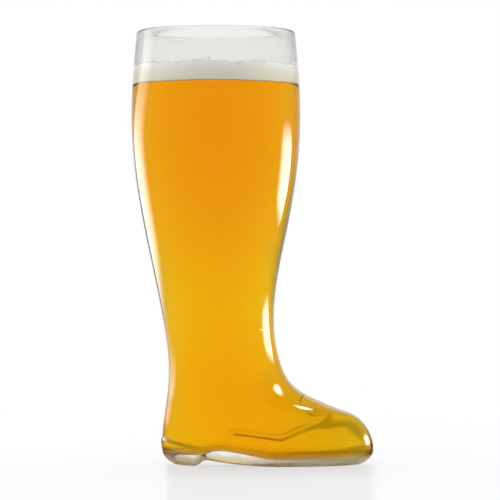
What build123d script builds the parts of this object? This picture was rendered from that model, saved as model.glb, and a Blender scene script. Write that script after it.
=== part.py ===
"""A two-litre drinking glass blown in the form of a boot, filled with beer under a head of foam.

The boot is one piece of glass: a round shaft that swells above the calf and narrows to the ankle, and a
foot with a heel block, an arch, a sole and a toe cap. The beer and the foam fill its hollow, and are the
two other pieces. Millimetres, +Z up, toe towards +X. The boot stands on Z = 0, centred on its own box.
"""

from build123d import *

import math
import os

from scipy.interpolate import CubicSpline

# Shaft: radii of the round leg, with the rim as the top and the calf halfway from ankle to belly
HEIGHT = 318.0
RIM_RADIUS = 58.3
BELLY_RADIUS = 62.3
BELLY_BELOW_RIM = 64.0
CALF_RADIUS = 54.1
ANKLE_RADIUS = 40.9
ANKLE_FORWARD = 1.9

# Front of the foot, upwards from the toe: the foremost point's height, then each rise to the next point
TOE_HEIGHT = 13.0
TOE_BROW_RISE = 18.0
TOE_TOP_RISE = 7.5
VAMP_RISE = 8.0
INSTEP_RISE = 10.5
THROAT_RISE = 15.0
ANKLE_RISE = 34.0

# Front of the foot, forwards from the throat: its reach from the shaft's axis, then each step to the next
THROAT_REACH = 48.2
INSTEP_STEP = 9.0
VAMP_STEP = 17.4
TOE_TOP_STEP = 20.9
TOE_BROW_STEP = 10.4
TOE_STEP = 8.8

# Back of the foot: reaches behind the shaft's axis, upwards from the heel
HEEL_REACH = 39.3
HEEL_HEIGHT = 19.0
COUNTER_REACH = 37.5
COUNTER_RISE = 19.0
HOLLOW_REACH = 34.9
HOLLOW_RISE = 23.0
HEEL_TUCK = 3.2

# Foot in plan: half its width, and how square the toe and the heel are (2 is an ellipse)
FOOT_HALF_WIDTH = 39.0
FOOT_WIDE_HEIGHT = 24.0
SOLE_TUCK = 1.8
HEEL_FULLNESS = 2.6
TOE_FULLNESS = 2.4

# Welt: the heel block and the sole, with its toe cap, stand out from the upper
WELT = 1.2
HEEL_LENGTH = 28.5
HEEL_FRONT_HEIGHT = 13.0
SOLE_GAP = 23.5
SOLE_REAR_HEIGHT = 24.0
SOLE_REAR_ROUND = 4.0
SOLE_LOW_FORWARD = 36.0
SOLE_LOW_HEIGHT = 19.5
TOE_CAP_FORWARD = 48.0
TOE_CAP_HEIGHT = 39.5

# Arch: the hollow under the foot from the heel block to the ball, and the thick insole of glass above it
ARCH_LENGTH = 60.0
ARCH_RUN = 6.0
ARCH_HEIGHT = 4.5
ARCH_FALL = 0.15
INSOLE_RUN = 14.0
INSOLE_HEIGHT = 6.0
INSOLE_FALL = 0.05
BREAST_SLOPE = 1.0
BALL_SLOPE = 0.04

# Glass: the wall, and the sole under the foot with its flat ground face
WALL = 3.5
SOLE_GLASS = 5.5
HEEL_SEAT_RISE = 3.0
SOLE_GRIND = 1.0
RIM_EASE = 0.3

# Rounded lower edge, outside and in the hollow: its height, and how far it draws in at toe, heel and sides
OUTER_EDGE_HEIGHT = 10.0
OUTER_TOE_EDGE = 13.0
OUTER_HEEL_EDGE = 12.0
OUTER_SIDE_EDGE = 5.0
INNER_EDGE_HEIGHT = 6.0
INNER_TOE_EDGE = 10.0
INNER_HEEL_EDGE = 9.0
INNER_SIDE_EDGE = 4.0

# Filling, measured down from the rim
FOAM_BELOW_RIM = 25.0
FOAM_DEPTH = 14.4
FOAM_CROWN = 2.0

# How finely the sections are drawn, and how far cutting tools pass what they cut
SIDE_STEPS = 14
FOOT_STEPS = 14
SHAFT_STEPS = 10
EDGE_STEPS = 6
OVERRUN = 5.0
MM3_PER_CM3 = 1000

toe_brow_height = TOE_HEIGHT + TOE_BROW_RISE
toe_top_height = toe_brow_height + TOE_TOP_RISE
vamp_height = toe_top_height + VAMP_RISE
instep_height = vamp_height + INSTEP_RISE
throat_height = instep_height + THROAT_RISE
ankle_height = throat_height + ANKLE_RISE
belly_height = HEIGHT - BELLY_BELOW_RIM
calf_height = (ankle_height + belly_height) / 2
counter_height = HEEL_HEIGHT + COUNTER_RISE
hollow_height = counter_height + HOLLOW_RISE

instep_reach = THROAT_REACH + INSTEP_STEP
vamp_reach = instep_reach + VAMP_STEP
toe_top_reach = vamp_reach + TOE_TOP_STEP
toe_brow_reach = toe_top_reach + TOE_BROW_STEP
toe_reach = toe_brow_reach + TOE_STEP

heel_breast = HEEL_LENGTH - HEEL_REACH - WELT
sole_start = heel_breast + SOLE_GAP
sole_low = sole_start + SOLE_LOW_FORWARD
toe_cap = sole_low + TOE_CAP_FORWARD

foam_top = HEIGHT - FOAM_BELOW_RIM
beer_level = foam_top - FOAM_DEPTH

outer_edge = (OUTER_TOE_EDGE, OUTER_HEEL_EDGE, OUTER_SIDE_EDGE)
inner_edge = (INNER_TOE_EDGE, INNER_HEEL_EDGE, INNER_SIDE_EDGE)


def smooth(*points):
    """A curve of value over height, without kinks, through points of (height, value)."""
    heights, values = zip(*sorted(points))
    return CubicSpline(heights, values, bc_type="natural")


shaft = ((HEIGHT, RIM_RADIUS), (belly_height, BELLY_RADIUS), (calf_height, CALF_RADIUS))
front = smooth(
    *shaft,
    (ankle_height, ANKLE_RADIUS + ANKLE_FORWARD),
    (throat_height, THROAT_REACH),
    (instep_height, instep_reach),
    (vamp_height, vamp_reach),
    (toe_top_height, toe_top_reach),
    (toe_brow_height, toe_brow_reach),
    (TOE_HEIGHT, toe_reach),
    (0, toe_reach - SOLE_TUCK),
)
back = smooth(
    *shaft,
    (ankle_height, ANKLE_RADIUS - ANKLE_FORWARD),
    (hollow_height, HOLLOW_REACH),
    (counter_height, COUNTER_REACH),
    (HEEL_HEIGHT, HEEL_REACH),
    (0, HEEL_REACH - HEEL_TUCK),
)
side = smooth(
    *shaft,
    (ankle_height, ANKLE_RADIUS),
    (FOOT_WIDE_HEIGHT, FOOT_HALF_WIDTH),
    (0, FOOT_HALF_WIDTH - SOLE_TUCK),
)


def square_to_wall(reach, height, offset):
    """How far out a wall lies at a height once it is moved by offset, measured square to the wall."""
    return float(reach(height) + offset * math.hypot(1, reach(height, 1)))


def fullness(height, at_floor):
    """How square a section is: round from the ankle up, and easing to a given fullness at the floor."""
    ease = min(max(1 - height / ankle_height, 0), 1)
    return 2 + (at_floor - 2) * ease * ease * (3 - 2 * ease)


def section(height, offset, insets):
    """The boot's outline at one height, drawn in at toe, heel and sides: two halves that mirror each other."""
    to_front, to_back, to_side = (
        square_to_wall(reach, height, offset) - inset for reach, inset in zip((front, back, side), insets)
    )
    middle = (to_front - to_back) / 2
    half_length = (to_front + to_back) / 2
    turns = [math.pi * k / SIDE_STEPS for k in range(SIDE_STEPS + 1)]
    points = []
    for turn in turns:
        along, across = math.cos(turn), math.sin(turn)
        power = fullness(height, TOE_FULLNESS if along > 0 else HEEL_FULLNESS)
        reach = (abs(along) ** power + across**power) ** (-1 / power)
        points.append((middle + half_length * reach * along, to_side * reach * across))
    ends = [(0, to_side), (0, -to_side)]
    left = Edge.make_spline(points, tangents=ends, parameters=turns, scale=False)
    return Wire([left, left.mirror(Plane.XZ)])


def boot_form(offset, floor, edge_height, edge, heights):
    """The boot's solid form moved out by offset: a rounded edge at its floor, then sections at heights."""
    levels = []
    for k in range(EDGE_STEPS):
        turn = math.pi / 2 * k / EDGE_STEPS
        insets = [width * (1 - math.sin(turn)) for width in edge]
        levels.append((floor + edge_height * (1 - math.cos(turn)), insets))
    levels += [(height, (0, 0, 0)) for height in heights]
    return loft([Pos(0, 0, z) * Face(section(z, offset, insets)) for z, insets in levels])


def evenly(start, end, count):
    """Heights from start up to end, in count equal steps, without the end itself."""
    return [start + (end - start) * k / count for k in range(count)]


def side_prism(outline):
    """A tool cut to an outline of the side view and wide enough to pass right through the boot."""
    return extrude(make_face(Plane.XZ * outline), 2 * BELLY_RADIUS, both=True)


def foot_heights(edge_top):
    """Section heights from the top of the sole's rounded edge to just under the throat."""
    return evenly(edge_top, throat_height, FOOT_STEPS)


def leg_heights(edge_top):
    """Section heights from the top of the sole's rounded edge up to the rim."""
    return foot_heights(edge_top) + evenly(throat_height, HEIGHT, SHAFT_STEPS) + [HEIGHT]


def heel_block():
    """Side view of the heel block: its upper edge falls from the back to the heel's breast."""
    behind = -HEEL_REACH - OVERRUN
    return Polyline(
        (behind, -OVERRUN),
        (behind, HEEL_HEIGHT),
        (-HEEL_REACH, HEEL_HEIGHT),
        (heel_breast, HEEL_FRONT_HEIGHT),
        (heel_breast, -OVERRUN),
        close=True,
    )


def sole_plate():
    """Side view of the sole: its upper edge dips at the ball of the foot and climbs over the toe."""
    ahead = toe_reach + OVERRUN
    hook = sole_start + SOLE_REAR_ROUND
    below_hook = SOLE_REAR_HEIGHT - SOLE_REAR_ROUND
    rear = Line((sole_start, -OVERRUN), (sole_start, below_hook))
    corner = RadiusArc((sole_start, below_hook), (hook, SOLE_REAR_HEIGHT), SOLE_REAR_ROUND)
    rest = Polyline(
        (hook, SOLE_REAR_HEIGHT),
        (sole_low, SOLE_LOW_HEIGHT),
        (toe_cap, TOE_CAP_HEIGHT),
        (toe_cap, throat_height),
        (ahead, throat_height),
        (ahead, -OVERRUN),
        (sole_start, -OVERRUN),
    )
    return rear + corner + rest


def arch_hump(run, height, fall):
    """Side view of a hump that rises steeply from the heel's breast and falls gently to the ball."""
    end = heel_breast + ARCH_LENGTH
    crown = (heel_breast + run, height)
    rear = Spline((heel_breast, 0), crown, tangents=[(1, BREAST_SLOPE), (1, -fall)])
    front_run = Spline(crown, (end, 0), tangents=[(1, -fall), (1, -BALL_SLOPE)])
    below = Polyline((end, 0), (end, -OVERRUN), (heel_breast, -OVERRUN), (heel_breast, 0))
    return rear + front_run + below


def heel_seat():
    """Side view of the raised glass over the heel, as far forward as the crown of the insole."""
    behind = -HEEL_REACH - OVERRUN
    ahead = heel_breast + INSOLE_RUN
    return Polyline(
        (behind, -OVERRUN),
        (behind, HEEL_SEAT_RISE),
        (ahead, HEEL_SEAT_RISE),
        (ahead, -OVERRUN),
        close=True,
    )


def outside():
    """The boot as seen from outside: the upper with its heel block and sole, hollowed under the arch."""
    edge_top = OUTER_EDGE_HEIGHT - SOLE_GRIND
    foot_top = foot_heights(edge_top) + [throat_height]
    upper = boot_form(0, -SOLE_GRIND, OUTER_EDGE_HEIGHT, outer_edge, leg_heights(edge_top))
    proud = boot_form(WELT, -SOLE_GRIND, OUTER_EDGE_HEIGHT, outer_edge, foot_top)
    welt = proud & (side_prism(heel_block()) + side_prism(sole_plate()))
    arch = arch_hump(ARCH_RUN, ARCH_HEIGHT, ARCH_FALL)
    standing = upper + welt - side_prism(arch)
    return split(standing, Plane.XY, keep=Keep.TOP)


def inside():
    """The boot's hollow: its floor rises over the heel and the arch."""
    edge_top = SOLE_GLASS + INNER_EDGE_HEIGHT
    hollow = boot_form(-WALL, SOLE_GLASS, INNER_EDGE_HEIGHT, inner_edge, leg_heights(edge_top))
    instep_hump = arch_hump(INSOLE_RUN, INSOLE_HEIGHT, INSOLE_FALL)
    insole = side_prism(instep_hump) + side_prism(heel_seat())
    return hollow - Pos(0, 0, SOLE_GLASS) * insole


def blown_boot(hollow):
    """The glass itself, with its rim melted round."""
    crown = WALL / 2 + RIM_EASE
    rim = Pos(0, 0, HEIGHT - crown) * Torus(RIM_RADIUS - WALL / 2, crown)
    above = extrude(Plane.XY.offset(HEIGHT - crown) * Circle(RIM_RADIUS + OVERRUN), 2 * crown)
    return outside() - hollow - (above - rim)


def beer_fill(hollow):
    """The beer, from the floor of the hollow up to the underside of the foam."""
    return split(hollow, Plane.XY.offset(beer_level), keep=Keep.BOTTOM)


def foam_head(hollow):
    """The foam on the beer, crowned a little in the middle."""
    above_beer = split(hollow, Plane.XY.offset(beer_level), keep=Keep.TOP)
    reach = square_to_wall(side, foam_top, -WALL)
    dome = (reach * reach + FOAM_CROWN * FOAM_CROWN) / (2 * FOAM_CROWN)
    return above_beer & Pos(0, 0, foam_top - dome) * Sphere(dome)


hollow = inside()
pieces = {"boot_glass": blown_boot(hollow), "beer": beer_fill(hollow), "foam_head": foam_head(hollow)}
box = pieces["boot_glass"].bounding_box()
to_middle = Pos(-(box.min.X + box.max.X) / 2, 0, 0)
os.makedirs("parts", exist_ok=True)
for name, piece in pieces.items():
    export_step(to_middle * piece, f"parts/{name}.step")
    print(f"{name}: {piece.volume / MM3_PER_CM3:.0f} cm3")
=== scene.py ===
"""Looks for a two-litre beer glass blown in the form of a boot.

The file is laid out as an add-on: each piece has its sizes and finishes in a property group, and an
operator that makes the piece from them. Lengths are metres. +Z is up, the toe points to +X and the camera
stands on -Y.
"""

import math

import bpy
import numpy as np
from mathutils import Matrix, Vector


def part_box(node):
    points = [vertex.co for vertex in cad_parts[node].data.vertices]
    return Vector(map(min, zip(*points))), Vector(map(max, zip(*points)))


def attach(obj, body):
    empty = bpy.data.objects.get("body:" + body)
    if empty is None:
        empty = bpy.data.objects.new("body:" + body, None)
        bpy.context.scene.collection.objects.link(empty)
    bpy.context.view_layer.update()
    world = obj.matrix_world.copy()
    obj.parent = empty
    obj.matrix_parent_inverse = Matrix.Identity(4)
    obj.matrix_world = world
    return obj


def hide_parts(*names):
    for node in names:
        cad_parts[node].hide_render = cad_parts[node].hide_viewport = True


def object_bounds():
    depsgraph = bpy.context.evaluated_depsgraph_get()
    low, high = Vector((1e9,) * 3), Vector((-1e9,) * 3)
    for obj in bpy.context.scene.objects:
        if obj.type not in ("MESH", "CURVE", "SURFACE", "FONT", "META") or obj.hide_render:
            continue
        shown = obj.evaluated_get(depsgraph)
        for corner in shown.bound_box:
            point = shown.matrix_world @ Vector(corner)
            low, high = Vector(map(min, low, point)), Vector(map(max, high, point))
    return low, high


bl_info = {
    "name": "Boot Beer Glass",
    "version": (1, 0, 0),
    "blender": (4, 5, 0),
    "location": "3D View > Sidebar > Boot Glass",
    "description": "Blows a boot-shaped glass, pours the beer, tops it with foam and sets the stage",
    "category": "Object",
}

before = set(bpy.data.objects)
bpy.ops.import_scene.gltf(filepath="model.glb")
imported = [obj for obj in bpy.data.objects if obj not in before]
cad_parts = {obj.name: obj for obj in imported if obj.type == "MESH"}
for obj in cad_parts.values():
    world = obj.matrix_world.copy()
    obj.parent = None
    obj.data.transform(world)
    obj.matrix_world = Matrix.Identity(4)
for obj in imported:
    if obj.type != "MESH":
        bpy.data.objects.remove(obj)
CAD_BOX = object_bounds()
FOAM_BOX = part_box("foam_head")
BEER_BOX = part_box("beer")
MILLIMETRE = 0.001
WHITE = (1.0, 1.0, 1.0, 1.0)

# Rings in a rounded edge
ROUND_STEPS = 12
# Below this height the rings are close together, for the edges of the sole and the toe cap
OUTER_FINE_TOP, INNER_FINE_TOP = 0.046, 0.040
# Steps between rings: up to that height, to the throat, to the ankle and to the rim
OUTER_STEPS = (0.0005, 0.0013, 0.0025, 0.0042)
INNER_STEPS = (0.0011, 0.0017, 0.0027, 0.0046)
# The heel block's edge fades out from this far behind its breast to this far ahead
HEEL_FADE = (-0.005, 0.003)
# The sole's crease softens over these shares of the way from its lowest point to the toe cap
TOE_SOFTENING = (0.25, 0.8)
# How fast the toe cap's edge is left behind ahead of its top
TOE_SPREAD = 0.4
# Length of the sole's rear end with no crease below its corner, and how soon the crease fades there
REAR_LENGTH, REAR_SOFTENING = 0.02, 0.8
# Where glass counts as seen edge on, by how far it turns away: there its colour is darkened with painted
# shade
EDGE_SHADE_FACING = (0.6, 0.95)
# Where the arch begins and ends along the foot: it clears the table, so it is less scuffed
ARCH_REAR, ARCH_FRONT, ARCH_CLEAR = (-0.034, -0.018), (0.045, 0.005), 0.8
# Where the backdrop begins and is full, by how far a direction points straight back
BACKDROP = (0.78, 0.97)
# Where the boot's image in the floor begins and is full: at the heel, the toe, the sole and its far end
IMAGE_HEEL, IMAGE_TOE = (-0.0655, -0.0605), (0.0955, 0.0815)
IMAGE_SOLE, IMAGE_END = (0.0, -0.03), (-0.42, -0.24)
# Where that image darkens towards the sole
CONTACT = (-0.13, -0.05)
# The floor: points round it, reaches of its rings, and how far it lies under the sole
FLOOR_COLUMNS = 96
FLOOR_REACHES = (6.0, 3.0, 1.5, 0.7, 0.3, 0.1, 0.0)
FLOOR_DROP = 0.0002


def length(name, millimetres, description):
    """A length to change, given in millimetres and kept in metres."""
    return bpy.props.FloatProperty(
        name=name, description=description, default=millimetres * MILLIMETRE, unit="LENGTH", precision=5
    )


def share(name, default, description):
    """A plain factor to change."""
    return bpy.props.FloatProperty(name=name, description=description, default=default, precision=3)


def count(name, default, description):
    """A whole number to change."""
    return bpy.props.IntProperty(name=name, description=description, default=default, min=1)


def colour(name, default, description):
    """A colour to change."""
    return bpy.props.FloatVectorProperty(
        name=name, description=description, default=default, subtype="COLOR", size=3, min=0.0, max=1.0
    )


class BootShape(bpy.types.PropertyGroup):
    """Sizes of the boot's outside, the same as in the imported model."""

    height: length("Height", CAD_BOX[1].z / MILLIMETRE, "Rim above the table")
    rim_radius: length("Rim radius", 58.3, "Outer radius at the rim")
    belly_radius: length("Belly radius", 62.3, "Outer radius where the shaft is widest")
    belly_below_rim: length("Belly below rim", 64, "How far the widest part lies below the rim")
    calf_radius: length("Calf radius", 54.1, "Outer radius halfway from the ankle to the belly")
    ankle_radius: length("Ankle radius", 40.9, "Outer radius at the ankle")
    ankle_forward: length("Ankle forward", 1.9, "How far the ankle sits ahead of the shaft's axis")
    toe_height: length("Toe height", 13, "Height of the foremost point")
    toe_brow_rise: length("Toe brow rise", 18, "From the foremost point up to the toe's brow")
    toe_top_rise: length("Toe top rise", 7.5, "From the brow up to the top of the toe")
    vamp_rise: length("Vamp rise", 8, "From the top of the toe up to the vamp")
    instep_rise: length("Instep rise", 10.5, "From the vamp up to the instep")
    throat_rise: length("Throat rise", 15, "From the instep up to the throat")
    ankle_rise: length("Ankle rise", 34, "From the throat up to the ankle")
    throat_reach: length("Throat reach", 48.2, "From the shaft's axis forwards to the throat")
    instep_step: length("Instep step", 9, "From the throat forwards to the instep")
    vamp_step: length("Vamp step", 17.4, "From the instep forwards to the vamp")
    toe_top_step: length("Toe top step", 20.9, "From the vamp forwards to the top of the toe")
    toe_brow_step: length("Toe brow step", 10.4, "From the top of the toe forwards to its brow")
    toe_step: length("Toe step", 8.8, "From the brow forwards to the foremost point")
    heel_reach: length("Heel reach", 39.3, "From the shaft's axis back to the heel")
    heel_height: length("Heel height", 19, "Height of the rearmost point of the heel")
    counter_reach: length("Counter reach", 37.5, "From the axis back to the counter above the heel")
    counter_rise: length("Counter rise", 19, "From the heel up to the counter")
    hollow_reach: length("Hollow reach", 34.9, "From the axis back to the hollow above the counter")
    hollow_rise: length("Hollow rise", 23, "From the counter up to the hollow")
    foot_half_width: length("Foot half width", 39, "Half the width of the foot")
    foot_wide_height: length("Foot wide height", 24, "Height at which the foot is that wide")
    sole_tuck: length("Sole tuck", 1.8, "How far the foot draws in towards the table")
    heel_tuck: length("Heel tuck", 3.2, "How far the back of the heel draws in towards the table")
    heel_fullness: share("Heel fullness", 2.6, "Squareness of the heel in plan; 2 is an ellipse")
    toe_fullness: share("Toe fullness", 2.4, "Squareness of the toe in plan; 2 is an ellipse")
    edge_height: length("Edge height", 10, "Height of the foot's rounded lower edge")
    toe_edge: length("Toe edge", 13, "How far that edge draws in at the toe")
    heel_edge: length("Heel edge", 12, "How far it draws in at the heel")
    side_edge: length("Side edge", 5, "How far it draws in at the sides")
    sole_grind: length("Sole grind", 1, "How much of that edge is ground flat")


class WeltShape(bpy.types.PropertyGroup):
    """The heel block and the sole, which stand out from the upper, and the hollow under the arch."""

    proud: length("Proud", 1.2, "How far the heel block and the sole stand out")
    heel_length: length("Heel length", 28.5, "From the back of the heel block to its breast")
    heel_front_height: length("Heel front height", 13, "Height of the heel block at its breast")
    sole_gap: length("Sole gap", 23.5, "From the heel's breast forwards to the rear end of the sole")
    sole_rear_height: length("Sole rear height", 24, "Height of the sole's upper edge at its rear end")
    sole_rear_round: length("Sole rear round", 4, "Rounding of the sole's rear corner")
    sole_low_forward: length("Sole low forward", 36, "From that end forwards to its lowest point")
    sole_low_height: length("Sole low height", 19.5, "Height of the sole's upper edge at that point")
    toe_cap_forward: length("Toe cap forward", 48, "From that point forwards to the top of the toe cap")
    toe_cap_height: length("Toe cap height", 39.5, "Height of the toe cap's edge at the top")
    crease: length("Crease", 1.3, "Half the width of the crease above the sole")
    toe_crease: length("Toe crease", 5.0, "Half the width of the softer crease over the toe cap")
    toe_groove: share("Toe groove", 1.1, "Depth of the groove behind the toe cap, as a share of the welt")
    arch_length: length("Arch length", 60, "From the heel's breast to the ball of the foot")
    arch_run: length("Arch run", 6, "From the heel's breast to the crown of the arch")
    arch_height: length("Arch height", 4.5, "Height of the hollow under the arch")
    arch_fall: share("Arch fall", 0.15, "How steeply the arch falls from its crown")
    arch_ease: length("Arch ease", 3, "How far behind the breast the arch begins to rise")
    insole_run: length("Insole run", 14, "From the heel's breast to the crown of the insole")
    insole_height: length("Insole height", 6, "Height of the thick glass over the arch")
    arch_fade: length("Arch fade", 26, "How far up the foot the arch is felt")


class GlassFinish(bpy.types.PropertyGroup):
    """The wall of the glass, its mesh and its finish."""

    wall: length("Wall", 3.5, "Thickness of the wall")
    sole_glass: length("Sole glass", 5.5, "Thickness of the glass under the foot")
    heel_seat: length("Heel seat", 3, "Extra glass over the heel")
    edge_height: length("Edge height", 6, "Height of the hollow's rounded lower edge")
    toe_edge: length("Toe edge", 10, "How far that edge draws in at the toe")
    heel_edge: length("Heel edge", 9, "How far it draws in at the heel")
    side_edge: length("Side edge", 4, "How far it draws in at the sides")
    columns: count("Columns", 300, "Points round the boot, an even number")
    rungs: count("Rungs", 20, "Strips across the sole")
    index: share("Refractive index", 1.5, "How strongly the glass bends light")
    clear: colour("Clear glass", (0.955, 0.96, 0.945), "Colour of the bare glass")
    wet: colour("Wet glass", (0.965, 0.965, 0.955), "Colour of the wall that the beer wets")
    laced: colour("Laced glass", (0.83, 0.845, 0.79), "Colour of the filmed wall above the foam")
    sole: colour("Sole glass", (0.86, 0.79, 0.60), "Warm tone of the thick sole under the beer")
    sole_tone_top: length("Sole tone top", 13, "Height at which that warm tone has faded out")
    sole_haze: share("Sole haze", 0.3, "How much the glass near the ground is dulled by wear")
    ground: colour("Ground glass", (0.98, 0.90, 0.68), "Colour of the face that is ground flat")
    worn: share("Worn", 0.42, "How milky the scuffed glass is")
    worn_top: length("Worn top", 9, "Height at which the scuffed glass ends")
    # Painted shade: the glass is darkened towards this tone where it is seen edge on, for the dark outlines
    # of glass
    edge_shade: colour("Edge-on glass", (0.60, 0.62, 0.59), "Tone of the glass where it is seen edge on")
    wave: length("Wave", 0.06, "Height of the slow waves in the blown surface")


class BeerFinish(bpy.types.PropertyGroup):
    """The beer in the hollow."""

    level: length("Level", BEER_BOX[1].z / MILLIMETRE, "Surface of the beer above the table")
    wetting: length("Wetting", 0.15, "How far the beer reaches into the wall")
    index: share("Refractive index", 1.34, "How strongly the beer bends light")
    # Painted shade: the beer low in the boot and in the toe takes a duller, darker tone that stands in for
    # shade in the foot
    low_shade: colour("Dregs", (1.0, 0.80, 0.5), "Tone of the beer low in the boot")
    low_shade_top: length("Dregs top", 150, "Height at which that tone has faded out")
    toe: colour("Toe", (0.92, 0.85, 0.5), "Tone of the beer in the toe")
    toe_from: length("Toe from", 0, "How far forward that tone starts")
    toe_to: length("Toe to", 45, "How far forward it is full")
    tint: colour("Tint", (0.99525, 0.921, 0.0), "Colour that deep beer takes on")
    tint_depth: share("Tint density", 120.0, "How soon it takes on that colour")


class FoamFinish(bpy.types.PropertyGroup):
    """The head of foam and its bubbles."""

    top: length("Top", FOAM_BOX[1].z / MILLIMETRE, "Highest point of the foam above the table")
    crown: length("Crown", 0.8, "How far the middle stands above the edge")
    sink: length("Sink", 0.3, "How far the foam reaches into the beer")
    wetting: length("Wetting", 0.05, "How far the foam reaches into the wall")
    relief: length("Relief", 0.5, "Height of the uneven surface")
    lace: length("Lace", 3.0, "How far bubbles cling to the wall above the foam")
    rings: count("Rings", 60, "Rings of the top, from the middle to the wall")
    bubble_small: length("Smallest bubble", 0.35, "Radius of the smallest bubble on top")
    bubble_large: length("Largest bubble", 1.5, "Radius of the largest bubble on top")
    bubble_density: share("Bubble density", 130000.0, "Bubbles on a square metre of foam")
    lace_density: share("Lace density", 900000.0, "Bubbles on a square metre of wall above the foam")
    lace_bubble: length("Largest lace bubble", 0.9, "Radius of the largest bubble on the wall")
    seed: count("Seed", 7, "Seed of the bubbles' places and sizes")
    white: colour("White", (0.96, 0.965, 0.94), "Colour of the foam")
    # Painted light: a more amber, darker colour for the foam near the beer, standing in for the beer's
    # light and shade from below
    beer_light: colour("Warm", (0.84, 0.80, 0.64), "Colour of the foam where it meets the beer")


class StageLook(bpy.types.PropertyGroup):
    """Camera, lights and floor."""

    camera_distance: length("Camera distance", 1800, "From the camera to the middle plane of the boot")
    camera_height: length("Camera height", 157, "Camera above the table")
    camera_side: length("Camera side", -1.7, "Camera to the side of the boot's middle")
    lens: share("Lens", 175.6, "Focal length on a 36 mm sensor, in millimetres")
    horizon: share("Horizon light", 1.0, "Brightness of the surroundings seen through the glass")
    zenith: share("Zenith light", 0.28, "Brightness overhead, seen through the glass")
    room: share("Room light", 0.05, "Brightness of the room in front, mirrored in the glass")
    backdrop: share("Backdrop light", 0.75, "Brightness of the backdrop, mirrored in the glass")
    ambient: share("Ambient light", 0.85, "Brightness of the soft light from all round")
    behind_glass: share("Light behind glass", 0.9, "Brightness of that light behind the glass")
    side_light: share("Side light", 5.6, "How much brighter that light is from the sides")
    floor_colour: colour("Floor", (0.93, 0.93, 0.935), "Colour of the floor")
    floor_glow: share("Floor glow", 0.8, "How white the floor beside the boot is")
    floor_through: share("Floor through glass", 0.90, "Brightness of that floor, seen through the glass")
    shade: share("Shade", 0.36, "How much darker the floor behind the toe is")
    shade_forward: length("Shade forward", 52, "From the boot's middle forwards to that shade")
    shade_behind: length("Shade behind", 95, "From the boot's middle back to that shade")
    shade_radius: length("Shade radius", 40, "Radius of that shade")
    image: share("Image", 0.12, "How dark the boot's image in the floor is")
    contact: share("Contact", 0.09, "How much darker that image is close to the sole")


def smoothstep(low, high, value):
    """An even ease from 0 at low to 1 at high."""
    part = np.clip((value - low) / (high - low), 0.0, 1.0)
    return part * part * (3 - 2 * part)


def eased(x, start, end, first, last, first_slope, last_slope):
    """A smooth run from one value to another with given slopes at its ends, and level beyond them."""
    part = np.clip((x - start) / (end - start), 0.0, 1.0)
    rest = 1 - part
    ends = first * rest * rest * (1 + 2 * part) + last * part * part * (1 + 2 * rest)
    return ends + (end - start) * part * rest * (first_slope * rest - last_slope * part)


class SmoothCurve:
    """A curve of reach over height, without kinks, through a few points of (height, reach)."""

    def __init__(self, points):
        self.knots, self.values = np.array(sorted(points)).T
        steps = np.diff(self.knots)
        slopes = np.diff(self.values) / steps
        system = np.eye(len(self.knots))
        right = np.zeros(len(self.knots))
        for k in range(1, len(self.knots) - 1):
            system[k, k - 1 : k + 2] = steps[k - 1], 2 * (steps[k - 1] + steps[k]), steps[k]
            right[k] = 6 * (slopes[k] - slopes[k - 1])
        self.bends = np.linalg.solve(system, right)

    def __call__(self, height):
        """The reach at a height, and how fast it grows there."""
        k = np.clip(np.searchsorted(self.knots, height) - 1, 0, len(self.knots) - 2)
        step = self.knots[k + 1] - self.knots[k]
        after = (height - self.knots[k]) / step
        before = 1 - after
        low, high = self.values[k], self.values[k + 1]
        low_bend, high_bend = self.bends[k], self.bends[k + 1]
        bow = (before**3 - before) * low_bend + (after**3 - after) * high_bend
        lean = (3 * after**2 - 1) * high_bend - (3 * before**2 - 1) * low_bend
        return before * low + after * high + bow * step**2 / 6, (high - low) / step + lean * step / 6


# Sizes that add up to the heights of the front, from the toe to the ankle
RISES = (
    "toe_height",
    "toe_brow_rise",
    "toe_top_rise",
    "vamp_rise",
    "instep_rise",
    "throat_rise",
    "ankle_rise",
)
# Sizes that add up to its reaches, from the throat to the toe
STEPS_FORWARD = ("throat_reach", "instep_step", "vamp_step", "toe_top_step", "toe_brow_step", "toe_step")


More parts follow.
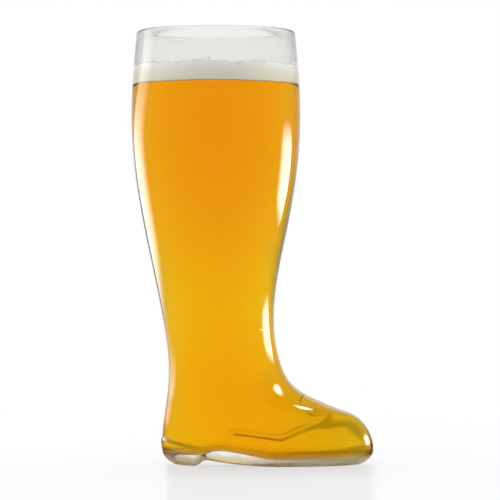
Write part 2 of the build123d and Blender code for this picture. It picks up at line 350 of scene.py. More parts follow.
class BootForm:
    """The boot's surfaces as rings of points, worked out from its sizes, with the shaft's axis at X = 0."""

    def __init__(self, shape, welt, glass):
        self.shape, self.welt, self.glass = shape, welt, glass
        *foot, self.throat, self.ankle = np.cumsum([getattr(shape, name) for name in RISES])
        reaches = np.cumsum([getattr(shape, name) for name in STEPS_FORWARD])
        belly = shape.height - shape.belly_below_rim
        shaft = [
            (shape.height, shape.rim_radius),
            (belly, shape.belly_radius),
            ((self.ankle + belly) / 2, shape.calf_radius),
        ]
        front = [
            (self.ankle, shape.ankle_radius + shape.ankle_forward),
            *zip((self.throat, *foot[::-1]), reaches),
            (0, reaches[-1] - shape.sole_tuck),
        ]
        counter = shape.heel_height + shape.counter_rise
        back = [
            (self.ankle, shape.ankle_radius - shape.ankle_forward),
            (counter + shape.hollow_rise, shape.hollow_reach),
            (counter, shape.counter_reach),
            (shape.heel_height, shape.heel_reach),
            (0, shape.heel_reach - shape.heel_tuck),
        ]
        side = [
            (self.ankle, shape.ankle_radius),
            (shape.foot_wide_height, shape.foot_half_width),
            (0, shape.foot_half_width - shape.sole_tuck),
        ]
        self.curves = [SmoothCurve(shaft + below) for below in (front, back, side)]
        self.breast = welt.heel_length - shape.heel_reach - welt.proud
        self.ball = self.breast + welt.arch_length
        self.sole_start = self.breast + welt.sole_gap
        self.sole_low = self.sole_start + welt.sole_low_forward
        self.toe_cap = self.sole_low + welt.toe_cap_forward

    def rings(self, heights, offset, insets=(0.0, 0.0, 0.0)):
        """Points round the boot at each height, moved out by offset and drawn in at toe, heel and sides."""
        heights = np.asarray(heights, float)
        reaches = []
        for curve, inset in zip(self.curves, insets):
            reach, slope = curve(heights)
            reaches.append((reach + offset * np.hypot(1, slope) - inset)[:, None])
        to_front, to_back, to_side = reaches
        turns = 2 * math.pi * np.arange(self.glass.columns) / self.glass.columns
        along, across = np.cos(turns), np.sin(turns)
        across[self.glass.columns // 2] = 0.0
        ease = smoothstep(0.0, 1.0, 1 - heights / self.ankle)[:, None]
        power = 2 + np.where(along > 0, self.shape.toe_fullness - 2, self.shape.heel_fullness - 2) * ease
        radius = (abs(along) ** power + abs(across) ** power) ** (-1 / power)
        x = (to_front - to_back) / 2 + (to_front + to_back) / 2 * radius * along
        return np.stack((x, to_side * radius * across, heights[:, None] + 0 * x), axis=-1)

    def levels(self, sizes, first, fine_top, top, steps):
        """Heights from a rounded lower edge up to the top, and how far each is drawn in."""
        turns = np.linspace(first, math.pi / 2, ROUND_STEPS, endpoint=False)
        stops = (sizes.edge_height, fine_top, self.throat, self.ankle, top)
        spans = [spaced(*span) for span in zip(stops, stops[1:], steps)]
        heights = np.concatenate((sizes.edge_height * (1 - np.cos(turns)), *spans, [top]))
        drawn = np.zeros(len(heights))
        drawn[: len(turns)] = 1 - np.sin(turns)
        return heights, [width * drawn for width in (sizes.toe_edge, sizes.heel_edge, sizes.side_edge)]

    def lifted(self, points, floor, run, start, height, fall):
        """Points raised from the heel's breast to a crown and on to the ball, less above the floor."""
        x = points[..., 0]
        crown = self.breast + run
        rear = eased(x, self.breast - self.welt.arch_ease, crown, start, height, 0.0, -fall)
        lift = np.where(x < crown, rear, eased(x, crown, self.ball, height, 0.0, -fall, 0.0))
        raised = points.copy()
        raised[..., 2] += lift * (1 - smoothstep(0.0, self.welt.arch_fade, points[..., 2] - floor))
        return raised

    def welt_weight(self, x, z):
        """How much of the welt stands at a point of the side view: 1 on the heel block and the sole."""
        welt = self.welt
        rearmost = -self.shape.heel_reach
        heel_line = np.interp(x, [rearmost, self.breast], [self.shape.heel_height, welt.heel_front_height])
        heel = smoothstep(-welt.crease, welt.crease, heel_line - z)
        heel = heel * (1 - smoothstep(*HEEL_FADE, x - self.breast))
        hook = self.sole_start + welt.sole_rear_round
        line = np.interp(
            x,
            [hook, self.sole_low, self.toe_cap],
            [welt.sole_rear_height, welt.sole_low_height, welt.toe_cap_height],
        )
        below = np.maximum(line - z, TOE_SPREAD * (x - self.toe_cap))
        corner = welt.sole_rear_round
        to_edge, to_rear = corner - below, corner - (x - self.sole_start)
        outside = np.hypot(np.maximum(to_edge, 0), np.maximum(to_rear, 0))
        depth = corner - outside - np.minimum(np.maximum(to_edge, to_rear), 0)
        forward = (x - self.sole_low) / (self.toe_cap - self.sole_low)
        towards_toe = smoothstep(*TOE_SOFTENING, forward)
        soft = welt.crease + (welt.toe_crease - welt.crease) * towards_toe
        rear = 1 - smoothstep(0, REAR_LENGTH, x - self.sole_start)
        soft = soft + REAR_SOFTENING * rear * np.maximum(welt.sole_rear_height - corner - z, 0)
        groove = welt.toe_groove * towards_toe * np.exp(-((depth / welt.toe_crease) ** 2))
        return np.maximum(heel, smoothstep(-soft, soft, depth)) - groove

    def outer_wall(self):
        """Rings of the outside, from the ground sole up to the start of the rim's rounding."""
        welt, grind = self.welt, self.shape.sole_grind
        top = self.shape.height - self.glass.wall / 2 + grind
        start = math.acos(1 - grind / self.shape.edge_height)
        heights, insets = self.levels(self.shape, start, OUTER_FINE_TOP, top, OUTER_STEPS)
        upper = self.rings(heights - grind, 0.0, insets)
        proud = self.rings(heights - grind, welt.proud, insets)
        upper = self.lifted(upper, 0.0, welt.arch_run, 0.0, welt.arch_height, welt.arch_fall)
        weight = self.welt_weight(upper[..., 0], upper[..., 2])[..., None]
        upper[..., :2] += weight * (proud - upper)[..., :2]
        return upper

    def inner_wall(self, out=0.0, top=None):
        """Rings of the hollow, from its floor up to a height, moved out into the glass by a little."""
        floor = self.glass.sole_glass - out
        wall_top = (top or self.shape.height - self.glass.wall / 2) - floor
        heights, insets = self.levels(self.glass, 0.0, INNER_FINE_TOP, wall_top, INNER_STEPS)
        hollow = self.rings(heights + floor, out - self.glass.wall, insets)
        insole = (self.welt.insole_run, self.glass.heel_seat, self.welt.insole_height, 0.0)
        return self.lifted(hollow, floor, *insole)

    def rim(self):
        """Rings of the rim, melted half round, from the outside over to the inside."""
        half = self.glass.wall / 2
        level = [self.shape.height - half]
        outside = self.rings(level, 0.0)
        inside = self.rings(level, -self.glass.wall)
        turns = (math.pi * np.arange(1, ROUND_STEPS) / ROUND_STEPS)[:, None, None]
        rings = inside + (outside - inside) * (1 + np.cos(turns)) / 2
        rings[..., 2] += half * np.sin(turns[..., 0])
        return rings


def spaced(start, end, step):
    """Heights from start up to end in even steps of about that size, without the end itself."""
    return np.linspace(start, end, max(1, round((end - start) / step)), endpoint=False)


class Skin:
    """A mesh put together from rings of points."""

    def __init__(self):
        self.points, self.faces, self.finishes = [], [], []
        self.total = 0
        self.finish = 0

    def add(self, points):
        """Adds points in a grid of any shape, and gives the same grid of their numbers."""
        points = np.asarray(points, float)
        numbers = self.total + np.arange(points[..., 0].size).reshape(points.shape[:-1])
        self.points.append(points.reshape(-1, 3))
        self.total += numbers.size
        return numbers

    def wall(self, grid, up=True):
        """Faces between rings, which run anticlockwise seen from above and go up the outside."""
        after = np.roll(grid, -1, axis=1)
        self.quads((grid[:-1], after[:-1], after[1:], grid[1:]), up)

    def quads(self, corners, up):
        """Four-sided faces with the given grids of numbers as their corners, or turned over."""
        self.more_faces(np.stack(corners if up else corners[::-1], axis=-1).reshape(-1, 4).tolist())

    def more_faces(self, faces):
        """Adds faces in the present finish."""
        self.faces.extend(faces)
        self.finishes.extend([self.finish] * len(faces))

    def ladder(self, ring, rungs, up):
        """Closes a ring whose two halves mirror each other, with strips from one half to the other."""
        half = len(ring) // 2
        points = np.concatenate(self.points)
        left, right = ring[1:half], ring[:half:-1]
        shares = (np.arange(1, rungs) / rungs)[None, :, None]
        between = self.add(points[left][:, None] * (1 - shares) + points[right][:, None] * shares)
        grid = np.concatenate((left[:, None], between, right[:, None]), axis=1)
        self.quads((grid[:-1, :-1], grid[:-1, 1:], grid[1:, 1:], grid[1:, :-1]), not up)
        for tip, rung in ((ring[0], grid[0][::-1]), (ring[half], grid[-1])):
            self.more_faces([[tip, b, a] if up else [tip, a, b] for a, b in zip(rung[:-1], rung[1:])])

    def disc(self, rings, up):
        """Closes a round piece with rings that shrink to a point in the middle, the last one given last."""
        self.wall(rings[:-1], up)
        last, middle = rings[-2], rings[-1][0]
        pairs = zip(last, np.roll(last, -1))
        self.more_faces([[a, b, middle] if up else [b, a, middle] for a, b in pairs])

    def build(self, name, *materials):
        """The finished object, moved from the shaft's axis to its place in the frame."""
        points = np.concatenate(self.points) + np.array([shaft_axis(), 0.0, 0.0])
        mesh = bpy.data.meshes.new(name)
        mesh.from_pydata(points.tolist(), [], self.faces)
        mesh.polygons.foreach_set("use_smooth", [True] * len(mesh.polygons))
        for material in materials:
            mesh.materials.append(material)
        mesh.polygons.foreach_set("material_index", self.finishes)
        mesh.update()
        made = bpy.data.objects.new(name, mesh)
        bpy.context.scene.collection.objects.link(made)
        return made


def shaft_axis():
    """X of the shaft's axis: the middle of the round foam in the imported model."""
    return (FOAM_BOX[0].x + FOAM_BOX[1].x) / 2


class Signal:
    """A socket that sums can be written on."""

    def __init__(self, graph, socket):
        self.graph, self.socket = graph, socket

    def sum(self, operation, first, second):
        """A Math node on two values."""
        return self.graph.node("ShaderNodeMath", {"operation": operation}, {0: first, 1: second})

    def __add__(self, other):
        return self.sum("ADD", self, other)

    def __sub__(self, other):
        return self.sum("SUBTRACT", self, other)

    def __rsub__(self, other):
        return self.sum("SUBTRACT", other, self)

    def __mul__(self, other):
        return self.sum("MULTIPLY", self, other)

    def __truediv__(self, other):
        return self.sum("DIVIDE", self, other)

    def __pow__(self, other):
        return self.sum("POWER", self, other)

    __radd__ = __add__
    __rmul__ = __mul__


class Graph:
    """The nodes of a material, a light, the world or a scatter."""

    def __init__(self, tree):
        self.tree = tree
        tree.nodes.clear()

    def node(self, kind, settings=None, values=None, output=0):
        """Adds a node: its settings first, then the values or links of its sockets; gives one output."""
        made = self.tree.nodes.new(kind)
        for name, value in (settings or {}).items():
            if name == "stops":
                self.set_stops(made.color_ramp.elements, value)
            else:
                setattr(made, name, value)
        for name, value in (values or {}).items():
            socket = made.inputs[name]
            if isinstance(value, Signal):
                self.tree.links.new(value.socket, socket)
            else:
                socket.default_value = value
        return Signal(self, made.outputs[output]) if len(made.outputs) else None

    @staticmethod
    def set_stops(elements, stops):
        """Gives a colour ramp its stops of (position, grey)."""
        while len(elements) < len(stops):
            elements.new(1.0)
        for element, (position, grey) in zip(elements, stops):
            element.position = position
            element.color = (grey, grey, grey, 1.0)

    def outputs(self, kind, values=None):
        """Adds a node, and gives all its outputs by name."""
        made = self.node(kind, {}, values).socket.node
        return {socket.name: Signal(self, socket) for socket in made.outputs}

    def axes(self, vector):
        """The three parts of a vector."""
        return self.outputs("ShaderNodeSeparateXYZ", {"Vector": vector}).values()

    def rays(self):
        """1 for rays from the camera, through glass and mirrored by it, and a count of matt bounces."""
        path = self.outputs("ShaderNodeLightPath")
        through = path["Is Transmission Ray"]
        mirrored = path["Is Glossy Ray"] * (1 - through)
        return path["Is Camera Ray"], through, mirrored, path["Diffuse Depth"]

    def principled(self, values):
        """A surface with the given values."""
        return self.node("ShaderNodeBsdfPrincipled", {}, values)

    def mix(self, factor, first, second):
        """A colour between two colours."""
        values = {"Factor": factor, 6: first, 7: second}
        return self.node("ShaderNodeMix", {"data_type": "RGBA"}, values, output=2)

    def noise(self, place, scale, detail):
        """Soft noise between 0 and 1."""
        return self.node("ShaderNodeTexNoise", {}, {"Vector": place, "Scale": scale, "Detail": detail})

    def cells(self, place, scale):
        """Distance to the nearest of many scattered points."""
        return self.node("ShaderNodeTexVoronoi", {}, {"Vector": place, "Scale": scale})

    def ease(self, value, low, high):
        """An even ease from 0 at low to 1 at high."""
        ends = {"Value": value, "From Min": low, "From Max": high}
        return self.node("ShaderNodeMapRange", {"interpolation_type": "SMOOTHSTEP"}, ends)

    def place(self):
        """Coordinates on the piece itself."""
        return self.node("ShaderNodeTexCoord", output="Object")

    def stretched(self, place, scale):
        """The same coordinates, with each axis stretched on its own."""
        return self.node("ShaderNodeMapping", {}, {"Vector": place, "Scale": scale})

    def bump(self, height, distance, strength=1.0):
        """A normal that follows a height."""
        values = {"Height": height, "Distance": distance, "Strength": strength}
        return self.node("ShaderNodeBump", {}, values)

    def output(self, surface, volume=None):
        """Ends a material."""
        values = {"Surface": surface}
        if volume:
            values["Volume"] = volume
        self.node("ShaderNodeOutputMaterial", {}, values)


def rgba(value):
    """A colour with full alpha."""
    return (*value, 1.0)


def new_material(name):
    """An empty material and its nodes."""
    material = bpy.data.materials.new(name)
    material.use_nodes = True
    return material, Graph(material.node_tree)


def blown_glass(glass, name, tone, mirror=1.0, film=0.0):
    """Fire-polished glass with slow waves and streaks, warm in the sole, and painted shade where it is seen
    edge on; a film makes it hazy.
    """
    material, graph = new_material(name)
    place = graph.place()
    forward, _, height = graph.axes(place)
    waves = graph.noise(place, 26.0, 1.0)
    streaks = graph.noise(graph.stretched(place, (1.0, 1.0, 0.12)), 95.0, 2.0)
    haze = graph.noise(place, 60.0, 3.0)
    body = graph.mix(haze, rgba(tone), rgba(0.3 + 0.7 * c for c in tone))
    above_sole = graph.ease(height, 0.3 * glass.sole_tone_top, glass.sole_tone_top)
    tinted = graph.mix(above_sole, rgba(glass.sole), body)
    # Painted shade: darker where the glass is seen edge on, less so in the sole
    edge = graph.ease(graph.node("ShaderNodeLayerWeight", output="Facing"), *EDGE_SHADE_FACING)
    edge = edge * (0.4 + above_sole * 0.6)
    surface = graph.principled(
        {
            "Base Color": graph.mix(edge, tinted, rgba(glass.edge_shade)),
            "Roughness": haze * (0.012 + film + glass.sole_haze * (1 - above_sole)),
            "IOR": glass.index,
            "Transmission Weight": 1.0,
            "Specular Tint": (mirror, mirror, mirror, 1.0),
            "Normal": graph.bump(waves + streaks * 0.12, glass.wave),
        }
    )
    milk = graph.mix(haze, rgba(glass.ground), rgba(0.85 * c for c in glass.ground))
    scuffed = graph.principled({"Base Color": milk, "Roughness": 0.3 + haze * 0.3})
    arch = graph.ease(forward, *ARCH_REAR) * graph.ease(forward, *ARCH_FRONT)
    worn = graph.ease(height, glass.worn_top, 0.3 * glass.worn_top) * glass.worn * (1 - arch * ARCH_CLEAR)
    graph.output(graph.node("ShaderNodeMixShader", {}, {"Fac": worn, 1: surface, 2: scuffed}))
    return material


def golden_beer(beer):
    """Clear lager whose colour deepens with its depth, with painted shade that dulls it low down and in the
    toe.
    """
    material, graph = new_material("golden_beer")
    place = graph.place()
    forward, _, height = graph.axes(place)
    drift = graph.noise(graph.stretched(place, (1.0, 1.0, 0.3)), 30.0, 2.0)
    high = graph.mix(drift, (1.0, 0.985, 0.95, 1.0), WHITE)
    # Painted shade: a duller, darker tone low in the boot and in the toe
    low = graph.mix(graph.ease(forward, beer.toe_from, beer.toe_to), rgba(beer.low_shade), rgba(beer.toe))
    above_low_shade = graph.ease(height, beer.low_shade_top, 0.3 * beer.low_shade_top)
    surface = graph.principled(
        {
            "Base Color": graph.mix(above_low_shade, high, low),
            "Roughness": drift * 0.01,
            "IOR": beer.index,
            "Transmission Weight": 1.0,
            "Specular Tint": (0.10, 0.06, 0.0, 1.0),
        }
    )
    depth = {"Color": rgba(beer.tint), "Density": beer.tint_depth}
    graph.output(surface, graph.node("ShaderNodeVolumeAbsorption", {}, depth))
    return material


def fine_foam(foam, beer):
    """Off-white foam: fine cells, a few coarser ones, painted shade in the pits of the cells, and painted
    amber light and shade where it meets the beer.
    """
    material, graph = new_material("fine_foam")
    place = graph.place()
    _, _, height = graph.axes(place)
    above = (height - beer.level) / (foam.top - beer.level)
    fine = graph.cells(place, 1500.0)
    coarse = graph.cells(place, 520.0)
    cloud = graph.noise(place, 70.0, 3.0)
    # Painted light: the foam turns amber and darker towards the beer, for the beer's light and shade from
    # below
    ramp = {"stops": [(0.0, 1.0), (0.5, 0.75), (0.95, 0.0)]}
    beer_light_share = graph.node("ShaderNodeValToRGB", ramp, {"Fac": above + cloud * 0.35 - 0.175})
    body = graph.mix(beer_light_share, rgba(foam.white), rgba(foam.beer_light))
    # Painted shade: the foam is darker in the pit at the middle of each cell
    ramp = {"stops": [(0.0, 0.75), (0.5, 1.0), (1.0, 0.9)]}
    pit_shade = graph.node("ShaderNodeValToRGB", ramp, {"Fac": fine + coarse * 0.5})
    multiply = {"data_type": "RGBA", "blend_type": "MULTIPLY"}
    pit_shaded = graph.node("ShaderNodeMix", multiply, {"Factor": 0.3, 6: body, 7: pit_shade}, output=2)
    surface = graph.principled(
        {
            "Base Color": pit_shaded,
            "Roughness": 0.45 + cloud * 0.3,
            "IOR": 1.33,
            "Normal": graph.bump(fine * 0.35 + coarse + cloud, 0.0003, 0.4),
        }
    )
    graph.output(surface)
    return material


def foam_underside():
    """The wet cells under the foam, which mirror the beer below them."""
    material, graph = new_material("foam_underside")
    cells = graph.cells(graph.place(), 600.0)
    surface = graph.principled(
        {
            "Base Color": graph.mix(cells, (0.97, 0.95, 0.90, 1.0), (0.90, 0.86, 0.76, 1.0)),
            "Metallic": 1.0,
            "Roughness": 0.25 + cells * 0.2,
            "Normal": graph.bump(cells, 0.0004, 0.5),
        }
    )
    graph.output(surface)
    return material


def pale_floor(stage):
    """A pale floor: the boot's shadow and faint image near it, and white further off."""
    material, graph = new_material("pale_floor")
    place = graph.place()
    forward, back, _ = graph.axes(place)
    camera, through, mirrored, _ = graph.rays()
    away = graph.node("ShaderNodeVectorMath", {"operation": "LENGTH"}, {0: place}, output="Value")
    fade = stage.floor_glow + (1 - stage.floor_glow) * graph.ease(away, 0.12, 0.60)
    to_shade = ((forward - stage.shade_forward) ** 2 + (back - stage.shade_behind) ** 2) ** 0.5
    shaded = stage.shade * graph.ease(to_shade, stage.shade_radius, 0.3 * stage.shade_radius)
    beside = stage.floor_through - shaded
    beyond = beside + (1 - beside) * graph.ease(away, 0.10, 0.45)
    aside = forward / (1 + back / stage.camera_distance)
    image = graph.ease(aside, *IMAGE_HEEL) * graph.ease(aside, *IMAGE_TOE)
    image = image * graph.ease(back, *IMAGE_SOLE) * graph.ease(back, *IMAGE_END)
    image = image * (stage.image + stage.contact * graph.ease(back, *CONTACT))
    mirror = stage.room + (stage.backdrop - stage.room) * graph.ease(back / away, *BACKDROP)
    grain = graph.noise(place, 420.0, 3.0)
    tone = graph.mix(grain, rgba(stage.floor_colour), rgba(0.985 * c for c in stage.floor_colour))
    rough = 0.45 + grain * 0.1
    matt = graph.principled({"Base Color": tone, "Roughness": rough, "Specular IOR Level": 0.25})
    strength = camera * (1 - image) + through * beyond + mirrored * mirror
    white = graph.node("ShaderNodeEmission", {}, {"Color": WHITE, "Strength": strength})
    seen = through + mirrored + camera * fade
    graph.output(graph.node("ShaderNodeMixShader", {}, {"Fac": seen, 1: matt, 2: white}))
    return material


def white_surroundings(stage):
    """White all round, dimmer overhead: full through the glass, dim when mirrored, even on matt faces."""
    world = bpy.data.worlds.new("white_surroundings")
    world.use_nodes = True
    bpy.context.scene.world = world
    graph = Graph(world.node_tree)
    aside, back, up = graph.axes(graph.node("ShaderNodeTexCoord", output="Generated"))
    camera, through, mirrored, bounces = graph.rays()
    overhead = stage.horizon + (stage.zenith - stage.horizon) * graph.ease(up, 0.42, 0.95)
    matt = graph.node("ShaderNodeMath", {"operation": "MINIMUM"}, {0: bounces, 1: 1.0})
    mirror = stage.room + (stage.backdrop - stage.room) * graph.ease(back, *BACKDROP)
    clear = through + mirrored * mirror
    indoors = stage.behind_glass + stage.side_light * aside**4
    soft = stage.ambient + (indoors - stage.ambient) * through
    strength = camera + (1 - matt) * clear * overhead + matt * soft
    sky = graph.node("ShaderNodeBackground", {}, {"Color": WHITE, "Strength": strength})
    graph.node("ShaderNodeOutputWorld", {}, {"Surface": sky})


def place_on_frame(piece, slot, *nodes):
    """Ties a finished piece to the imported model."""
    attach(piece, "root")
    if nodes:
        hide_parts(*nodes)


def boot_form(scene):
    """The boot's form from the sizes in the scene."""
    return BootForm(scene.boot_shape, scene.boot_welt, scene.boot_glass)


class BOOT_OT_blow_glass(bpy.types.Operator):
    """Blow the boot: outside, rim and hollow in one closed skin of glass"""

    bl_idname = "boot.blow_glass"
    bl_label = "Blow Glass"

    def execute(self, context):
        scene = context.scene
        form = boot_form(scene)
        glass = scene.boot_glass
        outside = np.concatenate((form.outer_wall(), form.rim()))
        hollow = form.inner_wall()[::-1]
        skin = Skin()
        grid = skin.add(np.concatenate((outside, hollow)))
        foam_edge = scene.boot_foam.top - scene.boot_foam.crown
        filmed = len(outside) + int(np.sum(hollow[:, 0, 2] > foam_edge))
        wetted = len(outside) + int(np.sum(hollow[:, 0, 2] > scene.boot_beer.level))
        skin.wall(grid[: len(outside) + 1])
        skin.wall(grid[filmed:wetted])
        skin.finish = 1
        skin.wall(grid[wetted - 1 :])
        skin.ladder(grid[-1], glass.rungs, up=True)
        skin.finish = 2
        skin.wall(grid[len(outside) : filmed + 1])
        skin.finish = 3
        skin.ladder(grid[0], glass.rungs, up=False)
        clear = blown_glass(glass, "clear_glass", glass.clear)
        wet = blown_glass(glass, "wet_glass", glass.wet, mirror=0.08)
        laced = blown_glass(glass, "laced_glass", glass.laced, film=0.25)
        ground = blown_glass(glass, "ground_glass", glass.ground, film=0.6)
        place_on_frame(skin.build("blown_boot", clear, wet, laced, ground), "glass", "boot_glass")
        return {"FINISHED"}


def shrinking(ring, rows):
    """Copies of a level ring that shrink to a point on the shaft's axis."""
    middle = np.array([0.0, 0.0, ring[0, 2]])
    return middle + (ring - middle) * np.linspace(1.0, 0.0, rows)[1:, None, None]


class BOOT_OT_pour_beer(bpy.types.Operator):
    """Fill the hollow with beer up to its level"""

    bl_idname = "boot.pour_beer"
    bl_label = "Pour Beer"

    def execute(self, context):
        scene = context.scene
        beer = scene.boot_beer
        form = boot_form(scene)
        skin = Skin()
        rings = form.inner_wall(beer.wetting, beer.level)
        grid = skin.add(rings)
        skin.wall(grid)
        skin.ladder(grid[0], scene.boot_glass.rungs, up=False)
        skin.disc(np.concatenate((grid[-1:], skin.add(shrinking(rings[-1], 12)))), up=True)
        place_on_frame(skin.build("beer_fill", golden_beer(beer)), "beer", "beer")
        return {"FINISHED"}


def bubble_tree(name, material):
    """Nodes that scatter round bubbles over a surface, more of them small than large."""
    tree = bpy.data.node_groups.new(name, "GeometryNodeTree")
    sockets = (
        ("Geometry", "INPUT", "Geometry"),
        ("Density", "INPUT", "Float"),
        ("Smallest", "INPUT", "Float"),
        ("Largest", "INPUT", "Float"),
        ("Seed", "INPUT", "Int"),
        ("Geometry", "OUTPUT", "Geometry"),
    )
    for label, way, kind in sockets:
        tree.interface.new_socket(label, in_out=way, socket_type="NodeSocket" + kind)
    graph = Graph(tree)
    given = graph.outputs("NodeGroupInput")
    where = {"Mesh": given["Geometry"], "Density": given["Density"], "Seed": given["Seed"]}
    points = graph.node("GeometryNodeDistributePointsOnFaces", {}, where, output="Points")
    seed = {"Seed": given["Seed"]}
    chance = graph.node("FunctionNodeRandomValue", {"data_type": "FLOAT"}, seed, output=1)
    sizes = {"Value": chance**5.0, "To Min": given["Smallest"], "To Max": given["Largest"]}
    radius = graph.node("ShaderNodeMapRange", {}, sizes)
    ball = graph.node("GeometryNodeMeshIcoSphere", {}, {"Radius": 1.0, "Subdivisions": 2})
    soft = graph.node("GeometryNodeSetShadeSmooth", {}, {"Geometry": ball})
    placed = {"Points": points, "Instance": soft, "Scale": radius}
    bubbles = graph.node("GeometryNodeInstanceOnPoints", {}, placed)
    real = graph.node("GeometryNodeRealizeInstances", {}, {"Geometry": bubbles})
    dressed = graph.node("GeometryNodeSetMaterial", {}, {"Geometry": real, "Material": material})
    graph.node("NodeGroupOutput", {}, {"Geometry": dressed})
    return tree


def scatter_bubbles(name, skin, foam, material, density, largest):
    """Bubbles on a surface that isn't kept itself, as a plain mesh."""
    surface = skin.build(name, material)
    tree = bubble_tree(name, material)
    sizes = {"Density": density, "Smallest": foam.bubble_small, "Largest": largest, "Seed": foam.seed}
    modifier = surface.modifiers.new("bubbles", "NODES")
    modifier.node_group = tree
    for item in tree.interface.items_tree:
        if item.in_out == "INPUT" and item.name in sizes:
            modifier[item.identifier] = sizes[item.name]
    shown = surface.evaluated_get(bpy.context.evaluated_depsgraph_get())
    mesh = bpy.data.meshes.new_from_object(shown)
    bpy.data.objects.remove(surface)
    bubbles = bpy.data.objects.new(name, mesh)
    bpy.context.scene.collection.objects.link(bubbles)
    return bubbles


# The foam's hills: their length, and waves of (turns forwards, turns to the side, start)
HILL_LENGTH = 0.018
HILLS = ((1.3, 0.7, 0.4), (0.6, -1.7, 1.9), (2.3, 1.9, 3.1))
# Waves of (count, height, start) round the foam's edge and round the bubbles that cling above it
EDGE_WAVES = ((7, 1.0, 1.0), (17, 0.7, 2.1), (41, 0.5, 0.4))
LACE_WAVES = ((5, 0.45, 0.3), (13, 0.35, 1.7), (29, 0.2, 2.6))


def foam_relief(points, foam):
    """Height of the uneven top of the foam: slow hills."""
    x, y = points[..., 0] / HILL_LENGTH, points[..., 1] / HILL_LENGTH
    hills = sum(np.sin(forward * x + aside * y + start) for forward, aside, start in HILLS)
    return foam.relief * (hills / len(HILLS) - 1)


def ripples(columns, waves):
    """An uneven line round the boot, from waves of (count, height, start)."""
    turns = 2 * math.pi * np.arange(columns) / columns
    return sum(height * np.sin(number * turns + start) for number, height, start in waves)


class BOOT_OT_raise_foam(bpy.types.Operator):
    """Top the beer with a crowned head of foam and scatter bubbles over it"""

    bl_idname = "boot.raise_foam"
    bl_label = "Raise Foam"

    def execute(self, context):
        scene = context.scene
        foam, beer = scene.boot_foam, scene.boot_beer
        form = boot_form(scene)
        edge = foam.top - foam.crown
        heights = np.linspace(beer.level - foam.sink, edge, 10)
        columns = scene.boot_glass.columns
        climb = foam.relief * ripples(columns, EDGE_WAVES)
        rings = form.rings(heights, foam.wetting - scene.boot_glass.wall)
        rings[..., 2] += climb * np.linspace(0.0, 1.0, len(heights))[:, None] ** 2
        inwards = np.linspace(1.0, 0.0, foam.rings)[1:, None, None]
        top = rings[-1] * inwards
        inwards = inwards[..., 0]
        top[..., 2] = edge + foam.crown * (1 - inwards**2) + climb * inwards**12
        top[..., 2] += foam_relief(top, foam) * smoothstep(0.0, 0.15, 1 - inwards)
        skin = Skin()
        grid = skin.add(rings)
        skin.wall(grid)
        skin.disc(np.concatenate((grid[-1:], skin.add(top))), up=True)
        skin.finish = 1
        skin.disc(np.concatenate((grid[:1], skin.add(shrinking(rings[0], 8)))), up=False)
        material = fine_foam(foam, beer)
        place_on_frame(skin.build("foam_crown", material, foam_underside()), "foam", "foam_head")
        cover = Skin()
        cover.disc(cover.add(top), up=True)
        collar = Skin()
        clinging = foam.lace * abs(ripples(columns, LACE_WAVES))
        collar.wall(collar.add(np.stack((rings[-1], rings[-1] + clinging[:, None] * (0.0, 0.0, 1.0)))))
        scattered = (
            ("foam_bubbles", cover, foam.bubble_density, foam.bubble_large),
            ("foam_lace", collar, foam.lace_density, foam.lace_bubble),
        )
        for name, surface, density, largest in scattered:
            place_on_frame(scatter_bubbles(name, surface, foam, material, density, largest), "foam")
        return {"FINISHED"}


def aimed(light, target, along):
    """Turns a light so that it faces a point, with its width along a direction."""
    back = (light.location - Vector(target)).normalized()
    width = Vector(along)
    width = (width - back * width.dot(back)).normalized()
    light.rotation_euler = Matrix((width, back.cross(width), back)).transposed().to_euler()


def soft_light(name, place, target, size, radiance, shade=None, shape="RECTANGLE", along=None):
    """A flat light of a given brightness; a shade says how bright each point of its face is."""
    lamp = bpy.data.lights.new(name, "AREA")
    lamp.shape = shape
    lamp.size, lamp.size_y = size
    lamp.energy = math.pi * size[0] * size[1] * radiance
    if shade:
        lamp.use_nodes = True
        graph = Graph(lamp.node_tree)
        across, up, _ = graph.axes(graph.node("ShaderNodeNewGeometry", output="Parametric"))
        glow = graph.node("ShaderNodeEmission", {}, {"Strength": shade(graph, across, up)})
        graph.node("ShaderNodeOutputLight", {}, {"Surface": glow})
    light = bpy.data.objects.new(name, lamp)
    light.location = place
    bpy.context.scene.collection.objects.link(light)
    aimed(light, target, along or (Vector(target) - light.location).cross((0.0, 0.0, 1.0)))
    light.visible_camera = False
    light.visible_transmission = False
    return light


def left_shade(graph, across, up):
    """A leaning band, soft on its near side and dimmer towards the top and the foot."""
    lean = graph.ease(up, 0.5, 0.9)
    sides = graph.ease(across - lean * 0.25, 0.72, 0.48) * graph.ease(across - lean * 0.45, 0.0, 0.12)
    return sides * (1 - 0.6 * graph.ease(up, 0.35, 0.85)) * graph.ease(up, 0.03, 0.22)


def right_shade(graph, across, up):
    """Crisp on its far side, soft on the near one and at its ends."""
    return graph.ease(across, 0.0, 0.28) * graph.ease(up, 1.0, 0.68) * graph.ease(up, 0.0, 0.2)


def round_shade(graph, across, up):
    """Bright in the middle and soft all round."""
    away = ((across - 0.5) ** 2 + (up - 0.5) ** 2) ** 0.5
    return graph.ease(away, 0.5, 0.15)


def round_about(degrees, distance, height):
    """A place round the boot: 0 is towards the camera, and a positive turn goes to the right."""
    turn = math.radians(degrees)
    return (shaft_axis() + distance * math.sin(turn), -distance * math.cos(turn), height)


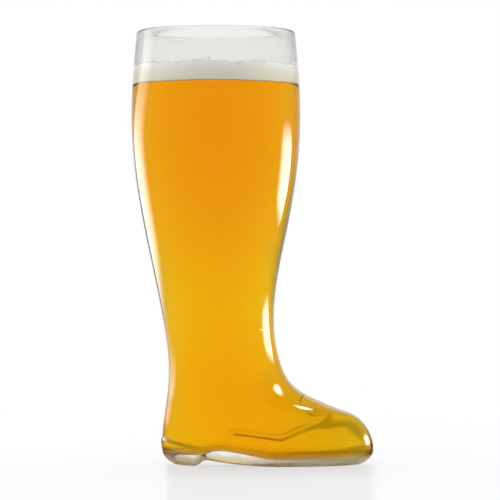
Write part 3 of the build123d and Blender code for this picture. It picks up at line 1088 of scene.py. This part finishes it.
class BOOT_OT_set_stage(bpy.types.Operator):
    """Set the camera, the lights, the white surroundings and the floor"""

    bl_idname = "boot.set_stage"
    bl_label = "Set Stage"

    def execute(self, context):
        scene = context.scene
        stage = scene.boot_stage
        scene.view_settings.view_transform = "Standard"
        lens = bpy.data.cameras.new("camera")
        lens.sensor_width = 36.0
        lens.lens = stage.lens
        lens.clip_end = 50.0
        camera = bpy.data.objects.new("camera", lens)
        camera.location = (stage.camera_side, -stage.camera_distance, stage.camera_height)
        camera.rotation_euler = (math.pi / 2, 0.0, 0.0)
        scene.collection.objects.link(camera)
        scene.camera = camera
        white_surroundings(stage)
        self.set_lights()
        skin = Skin()
        turns = 2 * math.pi * np.arange(FLOOR_COLUMNS) / FLOOR_COLUMNS
        circle = np.stack((np.cos(turns), np.sin(turns), 0 * turns), axis=-1)
        rings = circle * np.array(FLOOR_REACHES)[:, None, None]
        skin.disc(skin.add(rings - np.array([shaft_axis(), 0.0, FLOOR_DROP])), up=True)
        floor = skin.build("floor", pale_floor(stage))
        return {"FINISHED"}

    @staticmethod
    def set_lights():
        """Two tall softboxes at the sides, a small round light over the instep, and one overhead."""
        axis = shaft_axis()
        left = round_about(degrees=-121, distance=0.5, height=0.2125)
        level = (axis, 0.0, left[2])
        soft_light("left_softbox", left, level, size=(0.554, 0.415), radiance=4.4, shade=left_shade)
        right = round_about(degrees=113, distance=0.90, height=0.1425)
        level = (axis, 0.0, right[2])
        oval = {"shape": "ELLIPSE", "shade": right_shade}
        soft_light("right_softbox", right, level, size=(0.48, 0.295), radiance=7.0, **oval)
        above = Vector((axis + 0.093, -0.021, 0.10))
        below = (above.x, above.y, 0.0)
        oval = {"shape": "ELLIPSE", "shade": round_shade, "along": (0.29, 0.96, 0.0)}
        glint = soft_light("instep_glint", above, below, size=(0.044, 0.016), radiance=14.0, **oval)
        glint.visible_diffuse = False
        above, middle = (0.0, 0.55, 1.6), (axis, 0.0, 0.15)
        overhead = soft_light("top_light", above, middle, size=(0.8, 0.8), radiance=1.8)
        overhead.visible_glossy = False


PIECES = (
    ("boot_stage", StageLook, BOOT_OT_set_stage),
    ("boot_glass", GlassFinish, BOOT_OT_blow_glass),
    ("boot_beer", BeerFinish, BOOT_OT_pour_beer),
    ("boot_foam", FoamFinish, BOOT_OT_raise_foam),
)
SHAPES = (("boot_shape", BootShape), ("boot_welt", WeltShape))
GROUPS = SHAPES + tuple((name, group) for name, group, _ in PIECES)


class BOOT_PT_pieces(bpy.types.Panel):
    """The boot's sizes and finishes, with a button for each piece"""

    bl_idname = "BOOT_PT_pieces"
    bl_label = "Boot Glass"
    bl_space_type = "VIEW_3D"
    bl_region_type = "UI"
    bl_category = "Boot Glass"

    def draw(self, context):
        for name, group in SHAPES:
            self.list_values(context, name, group)
        for name, group, operator in PIECES:
            self.list_values(context, name, group)
            self.layout.operator(operator.bl_idname)

    def list_values(self, context, name, group):
        """A box with every value of one group."""
        box = self.layout.box()
        for value in group.__annotations__:
            box.prop(getattr(context.scene, name), value)


CLASSES = (*(group for _, group in GROUPS), *(operator for _, _, operator in PIECES), BOOT_PT_pieces)


def register():
    """Adds the classes, and the property groups to every scene."""
    for made in CLASSES:
        bpy.utils.register_class(made)
    for name, group in GROUPS:
        setattr(bpy.types.Scene, name, bpy.props.PointerProperty(type=group))


def unregister():
    """Takes them away again, in the opposite order."""
    for name, _ in GROUPS:
        delattr(bpy.types.Scene, name)
    for made in reversed(CLASSES):
        bpy.utils.unregister_class(made)


def main():
    """Makes every piece in order."""
    register()
    bpy.ops.boot.set_stage()
    bpy.ops.boot.blow_glass()
    bpy.ops.boot.pour_beer()
    bpy.ops.boot.raise_foam()


if __name__ == "__main__":
    main()
